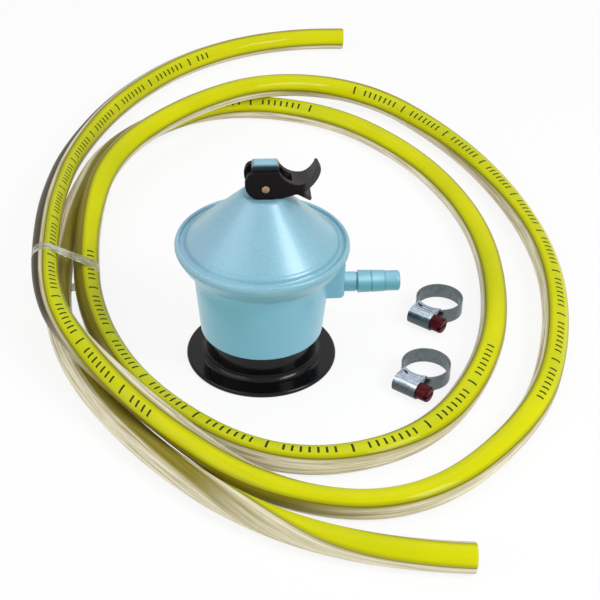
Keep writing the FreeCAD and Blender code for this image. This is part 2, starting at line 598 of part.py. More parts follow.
def hose_path():
    """Straight runs joined by tangent arcs, and the arcs' radii."""
    points = [Vector(*p) for p in HOSE_ROUTE]
    edges, radii = [], []
    last = points[0]
    for before, here, after in zip(points, points[1:], points[2:]):
        back = (before - here).normalize()
        ahead = (after - here).normalize()
        reach = ARC_SHARE * min((before - here).Length, (after - here).Length)
        start, end = here + back * reach, here + ahead * reach
        half_turn = (math.pi - back.getAngle(ahead)) / 2
        radius = reach / math.tan(half_turn)
        centre = here + (back + ahead).normalize() * (radius / math.cos(half_turn))
        middle = centre + (here - centre).normalize() * radius
        edges.append(Part.LineSegment(last, start).toShape())
        edges.append(Part.Arc(start, middle, end).toShape())
        radii.append(radius)
        last = end
    edges.append(Part.LineSegment(last, points[-1]).toShape())
    return Part.Wire(edges), radii


def hose():
    """The hose as a round solid along its path."""
    path, radii = hose_path()
    start = Vector(*HOSE_ROUTE[0])
    section = Part.Wire(Part.makeCircle(HOSE_R, start, Vector(*HOSE_ROUTE[1]) - start))
    tube = path.makePipeShell([section], True, False)
    print("hose arcs, radii in mm:", [round(r) for r in radii])
    print("hose length %.0f mm, volume against section times length %.4f"
          % (path.Length, tube.Volume / (math.pi * HOSE_R ** 2 * path.Length)))
    return tube


def tie_centres():
    """Where the hose's three strands cross the plane of the tie, as (x, z)."""
    path = hose_path()[0]
    plane = Part.Face(Part.makePolygon([Vector(x, TIE_Y, z) for x, z in
                                        ((-140, -5), (-60, -5), (-60, 60), (-140, 60), (-140, -5))]))
    return sorted((v.X, v.Z) for v in path.section(plane).Vertexes)


def hose_tape():
    """Band of clear tape drawn tight round the three strands."""
    half_width, inner, outer = 3.5, HOSE_R + 0.45, HOSE_R + 0.75
    corners = [Vector(x, TIE_Y - half_width, z) for x, z in tie_centres()]
    triangle = Part.Face(Part.makePolygon(corners + corners[:1]))
    sheet = triangle.makeOffset2D(outer).cut(triangle.makeOffset2D(inner))
    return sheet.extrude(DEPTH * 2 * half_width)


def build():
    """Every node's shape, by name."""
    makers = [
        lower_body, upper_cover, valve_coupling, locking_collar, collar_spring, collar_retainer, inlet_nose,
        coupling_seal, inlet_filter, rod_gland, rod_seal, jet, rocker_arm, rocker_pin, seat_holder, seat_pad,
        diaphragm, diaphragm_plate, diaphragm_hub, hub_nut, hub_seal, pressure_spring, spring_adjuster,
        plunger, plunger_spring, lever, lever_pin, outlet_nozzle, outlet_seal, hose, hose_tape]
    nodes = {maker.__name__: maker() for maker in makers}
    for quarter in range(4):
        nodes["locking_ball_%d" % (quarter + 1)] = locking_ball(quarter)
    for name in CLAMP_PLACES:
        nodes[name + "_band"] = placed_clamp(clamp_band(), name)
        nodes[name + "_housing"] = placed_clamp(clamp_housing(), name)
        nodes[name + "_screw"] = placed_clamp(clamp_screw(), name)
    return nodes


os.makedirs("parts", exist_ok=True)
for node, shape in build().items():
    shape.exportStep("parts/%s.step" % node)
    print("%-18s solids %d valid %s volume %.0f" % (node, len(shape.Solids), shape.isValid(), shape.Volume))
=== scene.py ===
import json
import math

import bmesh
import bpy
import numpy as np
from mathutils import Matrix, Vector


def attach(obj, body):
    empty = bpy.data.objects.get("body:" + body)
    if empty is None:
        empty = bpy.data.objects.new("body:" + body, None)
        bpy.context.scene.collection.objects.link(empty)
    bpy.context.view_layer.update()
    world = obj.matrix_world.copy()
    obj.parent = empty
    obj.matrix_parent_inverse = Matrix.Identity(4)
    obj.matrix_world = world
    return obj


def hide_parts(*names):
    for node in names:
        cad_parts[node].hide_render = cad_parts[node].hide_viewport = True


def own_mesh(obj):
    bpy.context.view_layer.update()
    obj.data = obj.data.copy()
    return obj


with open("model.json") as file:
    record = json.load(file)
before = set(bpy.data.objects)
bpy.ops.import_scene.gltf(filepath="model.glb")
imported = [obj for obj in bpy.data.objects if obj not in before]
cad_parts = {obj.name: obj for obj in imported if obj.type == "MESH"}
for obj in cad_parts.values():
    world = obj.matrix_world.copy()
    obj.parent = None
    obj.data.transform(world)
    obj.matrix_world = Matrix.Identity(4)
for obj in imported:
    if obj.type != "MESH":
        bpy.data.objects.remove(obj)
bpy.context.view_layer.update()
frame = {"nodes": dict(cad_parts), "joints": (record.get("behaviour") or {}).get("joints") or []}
parts = frame["nodes"]
print("frame loaded:", len(parts), "parts")


# ways that every piece below uses

def paint(red, green, blue):                      # a colour as a picture holds it, 0 to 255, made linear
    shares = [v / 255 for v in (red, green, blue)]
    return tuple(v / 12.92 if v < 0.04045 else ((v + 0.055) / 1.055) ** 2.4 for v in shares) + (1.0,)


class Signal:                                     # a socket that is reckoned with like a number
    def __init__(self, nodes, socket):
        self.nodes, self.socket = nodes, socket

    def math(self, operation, *values):
        return self.nodes.node("Math", {"operation": operation}, dict(enumerate(values)))

    def __add__(self, other):
        return self.math("ADD", self, other)

    def __radd__(self, other):
        return self.math("ADD", other, self)

    def __sub__(self, other):
        return self.math("SUBTRACT", self, other)

    def __rsub__(self, other):
        return self.math("SUBTRACT", other, self)

    def __mul__(self, other):
        return self.math("MULTIPLY", self, other)

    def __rmul__(self, other):
        return self.math("MULTIPLY", other, self)

    def __pow__(self, other):
        return self.math("POWER", self, other)

    def __abs__(self):
        return self.math("ABSOLUTE", self)

    def larger(self, other):
        return self.math("MAXIMUM", self, other)

    def whole(self):
        return self.math("ROUND", self)

    def cosine(self):
        return self.math("COSINE", self)

    def sine(self):
        return self.math("SINE", self)

    def rise(self, low, high):                    # 0 below low, 1 above high, smooth between
        return self.nodes.node("MapRange", {"interpolation_type": "SMOOTHSTEP"},
                               {"Value": self, "From Min": low, "From Max": high})

    def near(self, middle, half):                 # 1 at the middle, fading to 0 at half away from it
        return 1 - abs(self - middle).rise(0, half)


class Nodes:                                      # the nodes of one material or of the world
    def __init__(self, owner):
        owner.use_nodes = True
        self.tree = owner.node_tree
        self.tree.nodes.clear()

    def node(self, kind, settings=None, sockets=None, out=0):
        made = self.tree.nodes.new("ShaderNode" + kind)
        for key, value in (settings or {}).items():
            setattr(made, key, value)
        for key, value in (sockets or {}).items():
            self.join(value, made.inputs[key])
        return Signal(self, made.outputs[out]) if made.outputs else None

    def join(self, value, socket):
        if isinstance(value, Signal):
            self.tree.links.new(value.socket, socket)
        else:
            socket.default_value = value


class Finish(Nodes):                              # one material, with its shader and what feeds it
    def __init__(self, name, **constants):
        self.material = bpy.data.materials.new(name)
        super().__init__(self.material)
        surface = self.node("BsdfPrincipled")
        self.shader = surface.socket.node
        self.feed(**constants)
        self.node("OutputMaterial", None, {0: surface})

    def feed(self, **sockets):                    # Base_Color=... goes to the shader's Base Color
        for key, value in sockets.items():
            self.join(value, self.shader.inputs[key.replace("_", " ")])

    def place(self):
        return self.node("TexCoord", out="Object")

    def axes(self, vector):
        return [self.node("SeparateXYZ", None, {0: vector}, out=k) for k in range(3)]

    def point(self, x, y, z):
        return self.node("CombineXYZ", None, {0: x, 1: y, 2: z})

    def noise(self, vector, perMetre, detail=3.0, roughness=0.5):
        return self.node("TexNoise", None, {"Vector": vector, "Scale": perMetre, "Detail": detail,
                                            "Roughness": roughness})

    def cells(self, vector, perMetre):            # how far the nearest cell's middle is, in cells
        return self.node("TexVoronoi", None, {"Vector": vector, "Scale": perMetre}, out="Distance")

    def flakes(self, vector, perMetre):           # one chance number for each cell
        hues = self.node("TexVoronoi", None, {"Vector": vector, "Scale": perMetre}, out="Color")
        return self.node("SeparateColor", None, {0: hues})

    def blend(self, share, first, second):        # Mix has its colours on sockets 6 and 7
        return self.node("Mix", {"data_type": "RGBA"}, {0: share, 6: first, 7: second}, out=2)

    def bump(self, height, metres):
        self.feed(Normal=self.node("Bump", None, {"Height": height, "Distance": metres, "Strength": 1.0}))


def meshObject(name, points, faces, smooth=True):
    mesh = bpy.data.meshes.new(name)
    mesh.from_pydata(points.tolist(), [], faces.tolist())
    mesh.polygons.foreach_set("use_smooth", np.full(len(faces), smooth))
    mesh.update()
    made = bpy.data.objects.new(name, mesh)
    bpy.context.scene.collection.objects.link(made)
    return made


def gridFaces(rows, columns, wrapRows, wrapColumns):
    # four corners of each cell of a grid; a wrapped side joins its last line to its first
    row, column = np.meshgrid(np.arange(rows - (not wrapRows)), np.arange(columns - (not wrapColumns)),
                              indexing="ij")
    nextRow, nextColumn = (row + 1) % rows, (column + 1) % columns
    corners = [row * columns + column, row * columns + nextColumn,
               nextRow * columns + nextColumn, nextRow * columns + column]
    return np.stack(corners, axis=-1).reshape(-1, 4)


def wear(names, finish):
    for name in names:
        for slot in parts[name].material_slots:
            slot.material = finish.material


# camera: originAt is where the frame's origin falls, right of and above the picture's middle,
# as a share of the distance

camera = {"elevation": 35, "azimuth": -5, "roll": 1.5, "distance": 0.821, "lens": 96, "sensor": 36,
          "sees": (0.01, 20), "originAt": (-0.0241875, -0.03275)}


def makeCamera(c):
    tilt, turn, roll = (math.radians(c[k]) for k in ("elevation", "azimuth", "roll"))
    back = Vector((math.sin(turn) * math.cos(tilt), -math.cos(turn) * math.cos(tilt), math.sin(tilt)))
    level = Vector((math.cos(turn), math.sin(turn), 0))
    upright = back.cross(level)
    right = level * math.cos(roll) + upright * math.sin(roll)
    top = upright * math.cos(roll) - level * math.sin(roll)
    lens = bpy.data.cameras.new("camera")
    lens.lens, lens.sensor_width = c["lens"], c["sensor"]
    lens.clip_start, lens.clip_end = c["sees"]
    made = bpy.data.objects.new("camera", lens)
    made.matrix_world = Matrix((right, top, back)).transposed().to_4x4()
    made.location = c["distance"] * (back - right * c["originAt"][0] - top * c["originAt"][1])
    bpy.context.scene.collection.objects.link(made)
    bpy.context.scene.camera = made


makeCamera(camera)
print("camera set")


# hose: one clear tube with a yellow stripe along it, both ends bare

hose = {"outside": 0.014, "bore": 0.008, "sides": 36, "step": 0.003, "innerStep": 0.006,
        "edge": 0.0013, "edgeSteps": 5, "curveSteps": 24, "length": 2.65,
        "easeBy": 0.03, "easeSteps": 13,
        # where the stripe faces, in degrees round the hose from straight up, at metres along it
        "stripeTurns": ((0.0, -48), (0.10, -50), (0.15, -50), (0.20, -48), (0.35, -46), (0.42, -32),
                        (0.475, 14), (0.525, 56), (0.55, 56), (0.575, 40), (0.60, 22), (0.625, 10),
                        (0.65, 4), (0.70, 6), (0.75, 11), (0.775, 22), (0.80, 26), (0.85, 19),
                        (0.90, 18), (0.925, 17), (0.95, 7), (1.00, -10), (1.05, -25), (1.09, -43),
                        (1.125, -53), (1.15, -42), (1.175, -33), (1.20, -38), (1.25, -34),
                        (1.30, -38), (1.325, -34), (1.375, -22), (1.44, -20), (1.475, -13),
                        (1.50, -8), (1.55, -4), (1.60, 0), (1.625, 4), (1.65, 12), (1.70, 20),
                        (1.725, 24), (1.75, 18), (1.80, 10), (1.85, -2), (1.90, -12), (1.95, -20),
                        (2.00, -28), (2.05, -31), (2.095, -26), (2.16, -105), (2.22, -146),
                        (2.37, -146), (2.44, -124), (2.50, -118), (2.535, -90), (2.58, 10),
                        (2.60, 24), (2.66, 40)),
        "route": ((0.075, 0.349, 0.007), (0.038, 0.352, 0.007), (-0.027, 0.324, 0.007),
                  (-0.076, 0.266, 0.007), (-0.104, 0.196, 0.0085), (-0.112, 0.133, 0.0162),
                  (-0.113, 0.084, 0.0221), (-0.111, 0.033, 0.0221), (-0.0979, -0.0098, 0.0221),
                  (-0.0558, -0.0708, 0.0203), (-0.0028, -0.1184, 0.007), (0.065, -0.1294, 0.007),
                  (0.126, -0.073, 0.007), (0.153, -0.005, 0.007), (0.163, 0.067, 0.007),
                  (0.152, 0.141, 0.007), (0.127, 0.207, 0.007), (0.084, 0.266, 0.009),
                  (0.018, 0.258, 0.022), (-0.037, 0.223, 0.023), (-0.082, 0.167, 0.0215),
                  (-0.0928, 0.098, 0.0139), (-0.0883, 0.023, 0.008), (-0.057, -0.047, 0.007),
                  (0.003, -0.099, 0.007), (0.073, -0.085, 0.007), (0.115, -0.021, 0.007),
                  (0.130, 0.051, 0.007), (0.127, 0.120, 0.007), (0.101, 0.189, 0.007),
                  (0.052, 0.244, 0.007), (-0.022, 0.257, 0.007), (-0.080, 0.207, 0.007),
                  (-0.1003, 0.139, 0.0075), (-0.1069, 0.064, 0.008), (-0.102, 0.002, 0.0075),
                  (-0.073, -0.062, 0.007), (-0.022, -0.124, 0.007), (0.040, -0.157, 0.007),
                  (0.085, -0.161, 0.007))}


def smoothLine(points, steps):
    # the points that a smooth curve of order 3 passes through, controlled by the given ones
    curve = bpy.data.curves.new("route", "CURVE")
    curve.dimensions, curve.resolution_u = "3D", steps
    spline = curve.splines.new("NURBS")
    spline.points.add(len(points) - 1)
    spline.points.foreach_set("co", np.c_[np.array(points), np.ones(len(points))].ravel())
    spline.order_u, spline.use_endpoint_u = 3, True
    holder = bpy.data.objects.new("route", curve)
    bare = bpy.data.meshes.new_from_object(holder)
    line = np.empty(len(bare.vertices) * 3)
    bare.vertices.foreach_get("co", line)
    bpy.data.objects.remove(holder)
    bpy.data.curves.remove(curve)
    bpy.data.meshes.remove(bare)
    return line.reshape(-1, 3)


def lineFrames(line, at, h):
    # middle, stripe side and cross side of the line at each distance along it; the stripe side is
    # straight up, turned about the line by the mean of the stripe's turns within easeBy of there
    along = np.r_[0, np.cumsum(np.linalg.norm(np.diff(line, axis=0), axis=1))]
    middle = np.stack([np.interp(at, along, line[:, k]) for k in range(3)], axis=1)
    slopes = np.gradient(line, along, axis=0)
    ahead = np.stack([np.interp(at, along, slopes[:, k]) for k in range(3)], axis=1)
    ahead /= np.linalg.norm(ahead, axis=1, keepdims=True)
    up = np.array((0, 0, 1)) - ahead[:, 2:] * ahead
    up /= np.linalg.norm(up, axis=1, keepdims=True)
    places, degrees = np.array(h["stripeTurns"]).T
    spread = np.linspace(-h["easeBy"], h["easeBy"], h["easeSteps"])
    angle = np.radians(np.interp(at[:, None] + spread, places, degrees).mean(axis=1))[:, None]
    across = np.cross(ahead, up)
    side = up * np.cos(angle) + across * np.sin(angle)
    return middle, side, np.cross(ahead, side)


def makeHose(h):
    # rings of (distance along, radius) out along the wall, round the cut end, back through the bore
    # and round the other end, each turned about the line's own middle
    line = smoothLine(h["route"], h["curveSteps"])
    long = np.linalg.norm(np.diff(line, axis=0), axis=1).sum()
    edge, wide, narrow = h["edge"], h["outside"] / 2, h["bore"] / 2
    turn = np.linspace(0, np.pi / 2, h["edgeSteps"])
    out = np.linspace(edge, long - edge, round(long / h["step"]))
    home = np.linspace(long - edge, edge, round(long / h["innerStep"]))[1:]
    profile = np.concatenate([
        np.c_[out, np.full(len(out), wide)],
        np.c_[long - edge + edge * np.sin(turn[1:]), wide - edge + edge * np.cos(turn[1:])],
        np.c_[long - edge + edge * np.cos(turn), narrow + edge - edge * np.sin(turn)],
        np.c_[home, np.full(len(home), narrow)],
        np.c_[edge - edge * np.sin(turn[1:]), narrow + edge - edge * np.cos(turn[1:])],
        np.c_[edge - edge * np.cos(turn[:-1]), wide - edge + edge * np.sin(turn[:-1])]])
    middle, side, cross = lineFrames(line, profile[:, 0], h)
    angle = np.arange(h["sides"]) * 2 * np.pi / h["sides"]
    points = middle[:, None] + profile[:, 1, None, None] * (
        side[:, None] * np.cos(angle)[:, None] + cross[:, None] * np.sin(angle)[:, None])
    faces = gridFaces(len(profile), h["sides"], True, True)
    made = meshObject("gas_hose", points.reshape(-1, 3), faces)
    wrap = made.data.uv_layers.new(name="wrap")   # u goes once round from the stripe's middle, v along
    column = np.arange(len(faces)) % h["sides"]
    u = np.stack([column, column + 1, column + 1, column], axis=1) / h["sides"]
    v = profile[faces // h["sides"], 0]
    wrap.data.foreach_set("uv", np.stack([u, v], axis=-1).ravel())
    reach = made.data.attributes.new("reach", "FLOAT", "POINT")    # distance from the middle, in mm
    reach.data.foreach_set("value", np.repeat(profile[:, 1] * 1000, h["sides"]))
    return made, line, long


def makeTape(line, t):
    # the outline of a band pulled tight round the strands: in each direction the strand that lies
    # furthest out carries it, one radius and the gap away; a strand crosses a station between two
    # points of the line that are less than a stride apart
    stations = np.linspace(*t["across"], t["rows"])
    crossing = line[(line[:, 0] > t["left"][0]) & (line[:, 0] < t["left"][1])]
    angle = np.linspace(0, 2 * np.pi, t["directions"], endpoint=False)
    way = np.stack([np.cos(angle), np.sin(angle)], axis=1)
    rows = []
    for y in stations:
        step = np.diff(np.sign(crossing[:, 1] - y)) != 0
        near = np.abs(np.diff(crossing[:, 1])) < t["stride"]
        first = np.flatnonzero(step & near)
        share = (y - crossing[first, 1]) / (crossing[first + 1, 1] - crossing[first, 1])
        strands = (crossing[first] + share[:, None] * (crossing[first + 1] - crossing[first]))[:, [0, 2]]
        furthest = strands[np.argmax(way @ strands.T, axis=1)]
        around = furthest + way * (hose["outside"] / 2 + t["gap"])
        closed = np.r_[around, around[:1]]
        run = np.r_[0, np.cumsum(np.linalg.norm(np.diff(closed, axis=0), axis=1))]
        at = np.linspace(0, run[-1], t["columns"], endpoint=False)
        rows.append(np.stack([np.interp(at, run, closed[:, 0]), np.full(len(at), y),
                              np.interp(at, run, closed[:, 1])], axis=1))
    points = np.array(rows)
    points[..., 2] = np.maximum(points[..., 2], t["offFloor"])
    faces = gridFaces(t["rows"], t["columns"], False, True)
    made = meshObject("tie_tape", points.reshape(-1, 3), faces)
    thick = made.modifiers.new("film", "SOLIDIFY")
    thick.thickness, thick.offset = t["film"], 1
    return made


tape = {"across": (0.0565, 0.0635), "left": (-0.135, -0.07), "rows": 9, "columns": 120,
        "directions": 960, "stride": 0.02, "gap": 0.0001, "film": 0.00012, "offFloor": 0.0003,
        "middle": 0.060, "edge": (0.0029, 0.0034), "hazy": paint(176, 172, 140),
        "clear": paint(226, 224, 206), "creases": 170.0, "creaseStretch": 3.0}

hosePiece, hoseLine, hoseLong = makeHose(hose)
tapePiece = makeTape(hoseLine, tape)
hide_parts("hose")
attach(hosePiece, "regulator")
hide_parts("hose_tape")
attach(tapePiece, "regulator")
print("hose laid:", round(hoseLong, 3), "m,", len(hoseLine), "points")


# hose: beyond the stripe's edge the wall is clear, with an olive line, a glow, and cream with beige
# and brown streaks. Every From, To and By is in degrees, counted from the stripe's edge, and Runs
# are metres along the hose: narrowRuns has a narrower stripe, brownRuns a dark brown band of painted
# shade on the outer side, backRuns and sideRuns a dark olive band on the outer side, where the stripe
# and the next strand show through, creamRuns a plainer wall, and printRuns the length marks on a greener
# stripe

pvc = {"yellow": paint(220, 219, 0), "yellowDeep": paint(204, 207, 0), "print": paint(18, 20, 6),
       "shaded": paint(152, 148, 4), "edge": paint(118, 112, 8), "glow": paint(138, 140, 22),
       "cream": paint(242, 234, 206), "beige": paint(204, 196, 158), "streak": paint(140, 124, 76),
       "brown": paint(54, 42, 16), "olive": paint(130, 118, 10), "green": paint(176, 196, 44),
       "halfStripe": 50.0, "narrowRuns": ((0.24, 0.62), (1.36, 1.68)), "narrowBy": 12.0, "glowTo": 18.0,
       "brownFrom": (16.0, 26.0), "brownTo": (84.0, 112.0), "brownRuns": ((0.12, 0.47),),
       "backFrom": (30.0, 40.0), "backTo": (92.0, 108.0), "backRuns": ((2.12, 2.54),),
       "sideFrom": (0.0, 8.0), "sideTo": (48.0, 66.0), "sideRuns": ((0.48, 0.64), (1.29, 1.50)),
       "creamRuns": ((2.55, 2.70),),
       "printRuns": ((0.102, 0.542), (0.7635, 1.123), (1.403, 1.757), (2.037, 2.102)),
       "outerSide": (0.0, 10.0), "wanderBy": 6, "wanders": 9.0, "slow": 14.0, "streaks": 900.0,
       "strands": 560.0, "fine": 2600.0, "stretch": 0.03,
       "cutReach": (6.45, 6.8), "boreReach": (4.1, 4.4)}    # mm from the hose's middle
marks = {"short": 250, "tall": 25,                # to the metre
         "shortHalf": (0.12, 0.17), "tallHalf": (0.012, 0.018), "gap": (0.14, 0.16),
         "shortReach": (15.0, 16.5), "tallReach": (20.0, 21.5)}


def runs(along, spans, ease):                     # 1 within each span of metres along the hose
    total = 0.0
    for start, end in spans:
        total = along.rise(start - ease, start + ease) * (1 - along.rise(end - ease, end + ease)) + total
    return total


def lengthMarks(along, beside, m):
    # black length marks along the stripe: a tall one every 40 mm, a gap on each side of it, and
    # short ones every 4 mm between the gaps
    shorts, talls = along * m["short"], along * m["tall"]
    offShort, offTall = abs(shorts - shorts.whole()), abs(talls - talls.whole())
    short = (1 - offShort.rise(*m["shortHalf"])) * offTall.rise(*m["gap"])
    short = short * (1 - abs(beside).rise(*m["shortReach"]))
    tall = (1 - offTall.rise(*m["tallHalf"])) * (1 - abs(beside).rise(*m["tallReach"]))
    return short.larger(tall)


def band(past, low, high):                        # 1 between two angles past the stripe's edge
    return past.rise(*low) * (1 - past.rise(*high))


def hoseFinish(c):
    f = Finish("clear and yellow hose", Coat_Roughness=0.04, Specular_IOR_Level=0.03, IOR=1.5)
    turn, along, _ = f.axes(f.node("UVMap", {"uv_map": "wrap"}))
    reach = f.node("Attribute", {"attribute_name": "reach"}, out="Fac")
    angle, radius = turn * (2 * math.pi), hose["outside"] / 2
    ring = f.point(angle.cosine() * radius, angle.sine() * radius, along * c["stretch"])
    beside = 360 * (turn - turn.whole())          # degrees round from the stripe's middle, -180 to 180
    wander = (f.noise(f.point(along, 0.0, 0.0), c["wanders"], 2.0) - 0.5) * c["wanderBy"]
    narrow = runs(along, c["narrowRuns"], 0.04) * c["narrowBy"]
    past = abs(beside) + wander + narrow - c["halfStripe"]         # degrees past the stripe's edge
    clear = past.rise(-1.5, 1.5)
    streaks = f.noise(ring, c["streaks"], 5.0, 0.65)
    strands = f.noise(ring, c["strands"], 3.0, 0.55)
    fine = f.noise(ring, c["fine"], 3.0, 0.6)
    slow = f.noise(f.point(along, 3.0, 0.0), c["slow"], 2.0)
    stripe = f.blend(slow.rise(0.3, 0.7), c["yellow"], c["yellowDeep"])
    printed = runs(along, c["printRuns"], 0.001)
    haze = runs(along, c["printRuns"], 0.012) * (1 - abs(beside).rise(12.0, 32.0))
    stripe = f.blend(haze * 0.28, stripe, c["green"])
    stripe = f.blend(past.rise(-20.0, 0.0) * 0.65, stripe, c["shaded"])
    stripe = f.blend(lengthMarks(along, beside, marks) * printed * 0.95, stripe, c["print"])
    plain = 1 - runs(along, c["creamRuns"], 0.02) * 0.8
    wall = f.blend(streaks.rise(0.4, 0.6), c["beige"], c["cream"])
    wall = f.blend(strands.rise(0.55, 0.65) * 0.6 * plain, wall, c["streak"])
    wall = f.blend((1 - past.rise(0.0, c["glowTo"])) * plain, wall, c["glow"])
    outer = beside.rise(*c["outerSide"])
    shown = outer * (0.65 + streaks * 0.6)
    back = band(past, c["backFrom"], c["backTo"]) * shown
    side = band(past, c["sideFrom"], c["sideTo"]) * shown
    wall = f.blend(back * runs(along, c["backRuns"], 0.03), wall, c["olive"])
    wall = f.blend(side * runs(along, c["sideRuns"], 0.03), wall, c["olive"])
    # painted shade: the brown band is dark seen through the clear wall on the outer side
    brown = band(past, c["brownFrom"], c["brownTo"]) * outer * runs(along, c["brownRuns"], 0.03) * 0.95
    wall = f.blend(brown, wall, c["brown"])
    skin = f.blend(clear, stripe, wall)
    skin = f.blend(past.near(2.0, 5.0) * 0.8, skin, c["edge"])
    cut = f.blend(clear, c["yellow"], c["cream"])
    inside = f.blend(clear, c["olive"], c["beige"])
    skin = f.blend(1 - reach.rise(*c["cutReach"]), skin, cut)
    skin = f.blend(1 - reach.rise(*c["boreReach"]), skin, inside)
    f.feed(Base_Color=skin, Roughness=0.24 + fine * 0.14, Coat_Weight=0.18 - brown * 0.16)
    f.bump(streaks * 0.7 + fine * 0.3, 0.00006)
    return f


def tapeFinish(c):
    f = Finish("clear tape", Coat_Weight=0.6, Coat_Roughness=0.08, IOR=1.45)
    x, y, z = f.axes(f.place())
    edge = abs(y - c["middle"]).rise(*c["edge"])
    creases = f.noise(f.point(x, y * c["creaseStretch"], z), c["creases"], 3.0, 0.55)
    f.feed(Base_Color=f.blend(creases.rise(0.4, 0.65), c["hazy"], c["clear"]),
           Alpha=0.42 + edge * 0.25 + creases.rise(0.5, 0.66) * 0.28, Roughness=0.2 + creases * 0.2)
    f.bump(creases, 0.0003)
    return f


hosePiece.data.materials.append(hoseFinish(pvc).material)
tapePiece.data.materials.append(tapeFinish(tape).material)
print("hose and tape finished")


# regulator: sprayed metallic blue on the castings, the cover, the nozzle and the plunger's head

blue = {"mid": paint(128, 184, 201), "light": paint(164, 210, 220), "deep": paint(100, 162, 183),
        "lavender": paint(154, 186, 210), "skirt": paint(98, 176, 204), "speck": paint(84, 120, 134),
        "grime": paint(58, 88, 100), "thin": paint(10, 30, 36), "flakes": 2600.0, "clouds": 22.0,
        "orangePeel": 1300.0, "grain": 4200.0, "specks": 120.0, "speckHalf": (0.02, 0.05),
        "speckPatches": 60.0, "grimePatches": 420.0, "crimpHeight": 0.0566, "crimpHalf": 0.0011,
        "headFoot": (0.1000, 0.1010), "headTop": (0.1118, 0.1131), "skirtTop": (0.0610, 0.0690),
        "relief": 0.00003}


def nozzleTone(f, shade, x, z, c):
    # painted shade: deeper blue underneath and on the crest; a painted highlight: a pale flank between; a
    # lilac tip, and darker rings at the grooves
    shade = f.blend(z.near(*c["flankAt"]) * 0.8, shade, c["flank"])
    shade = f.blend((1 - z.rise(*c["underTop"])) * 0.9, shade, c["under"])
    shade = f.blend(z.rise(*c["crest"]) * 0.5, shade, c["under"])
    shade = f.blend(x.rise(*c["tipFrom"]) * z.rise(*c["underTop"]) * 0.7, shade, c["tip"])
    for groove in c["grooves"]:
        shade = f.blend(x.near(groove, c["grooveHalf"]) * 0.4, shade, c["grime"])
    return shade


def blueFinish(name, c):
    f = Finish(name, Metallic=0.1, Coat_Weight=0.62, Coat_Roughness=0.24, IOR=1.45)
    here = f.place()
    x, _, z = f.axes(here)
    flake = f.flakes(here, c["flakes"])
    cloud = f.noise(here, c["clouds"])
    peel = f.noise(here, c["orangePeel"], 2.0)
    grain = f.noise(here, c["grain"], 2.0)
    speckled = f.noise(here, c["speckPatches"], 1.0).rise(0.55, 0.62)
    speck = (1 - f.cells(here, c["specks"]).rise(*c["speckHalf"])) * speckled
    grimy = f.noise(here, c["grimePatches"]).rise(0.5, 0.66)
    grime = z.near(c["crimpHeight"], c["crimpHalf"]) * grimy       # darker in patches along the crimp line, under the rim
    shade = f.blend(cloud.rise(0.35, 0.7) * 0.6, c["mid"], c["lavender"])
    shade = f.blend(flake.rise(0.5, 1.0) * 0.28, shade, c["light"])
    shade = f.blend((1 - flake).rise(0.6, 1.0) * 0.2, shade, c["deep"])
    # painted shade: deeper blue low on the skirt and the body, taking back the pale reflections they catch
    # there
    shade = f.blend((1 - z.rise(*c["skirtTop"])) * 0.6, shade, c["skirt"])
    shade = f.blend(speck * 0.45, shade, c["speck"])
    shade = f.blend(grime * 0.75, shade, c["grime"])
    thin = z.rise(*c["headFoot"]) * (1 - z.rise(*c["headTop"]))    # painted shade on the head's sides, dark below its lit top
    shade = f.blend(thin * 0.95, shade, c["thin"])
    if "grooves" in c:
        shade = nozzleTone(f, shade, x, z, c)
    f.feed(Base_Color=shade, Roughness=0.34 + grain * 0.12 + (flake - 0.5) * 0.1)
    f.bump(peel * 0.6 + grain * 0.4, c["relief"])
    return f


# the casting's copy of the paint is paler and more saturated: painted light for the body's upright sides,
# which the lamps light less
castBlue = dict(blue, mid=paint(124, 196, 218), light=paint(160, 216, 230), deep=paint(104, 176, 200),
                lavender=paint(154, 194, 222), skirt=paint(114, 188, 212))
nozzleBlue = dict(blue, mid=paint(140, 198, 216), lavender=paint(158, 202, 222),
                  skirt=paint(140, 198, 216), flank=paint(172, 230, 250), under=paint(92, 172, 190),
                  tip=paint(118, 176, 204), flankAt=(0.0470, 0.0014), underTop=(0.0445, 0.0466),
                  crest=(0.0478, 0.0485), tipFrom=(0.0560, 0.0640), grooveHalf=0.0007,
                  grooves=(0.0472, 0.0543, 0.0612, 0.0687))

wear(("upper_cover", "plunger"), blueFinish("sprayed blue paint", blue))
wear(("lower_body",), blueFinish("sprayed blue paint, casting", castBlue))
wear(("outlet_nozzle",), blueFinish("sprayed blue paint, nozzle", nozzleBlue))


# lift collar: moulded gloss black, with faint ring marks and handling scratches

gloss = {"black": paint(14, 12, 14), "worn": paint(40, 42, 42), "rings": 900.0, "dust": 2400.0,
         "scratches": 260.0, "scratchStretch": 6.0, "relief": 0.000012}


def collarFinish(c):
    f = Finish("gloss black collar", Coat_Weight=0.05, Coat_Roughness=0.05, Specular_IOR_Level=0.22)
    here = f.place()
    x, y, z = f.axes(here)
    radius = (x * x + y * y) ** 0.5
    rings = f.noise(f.point(radius, z, 0.0), c["rings"], 2.0)
    dust = f.noise(here, c["dust"], 2.0).rise(0.66, 0.74)
    scratch = f.noise(f.point(x * c["scratchStretch"], y, z), c["scratches"], 2.0).rise(0.68, 0.72)
    f.feed(Base_Color=f.blend(dust * 0.3 + scratch * 0.25, c["black"], c["worn"]),
           Roughness=0.13 + rings * 0.06 + dust * 0.25 + scratch * 0.2)
    f.bump(rings * 0.5 - scratch * 0.4, c["relief"])
    return f


wear(("locking_collar",), collarFinish(gloss))


# lever: satin black moulding; a painted sheen makes it paler grey in the thumb's hollow

satin = {"black": paint(16, 11, 13), "rubbed": paint(66, 63, 63), "dish": (0.008, 0.013),
         "dishHalf": (0.0057, 0.0064), "grain": 3000.0, "blotches": 160.0, "relief": 0.00003}


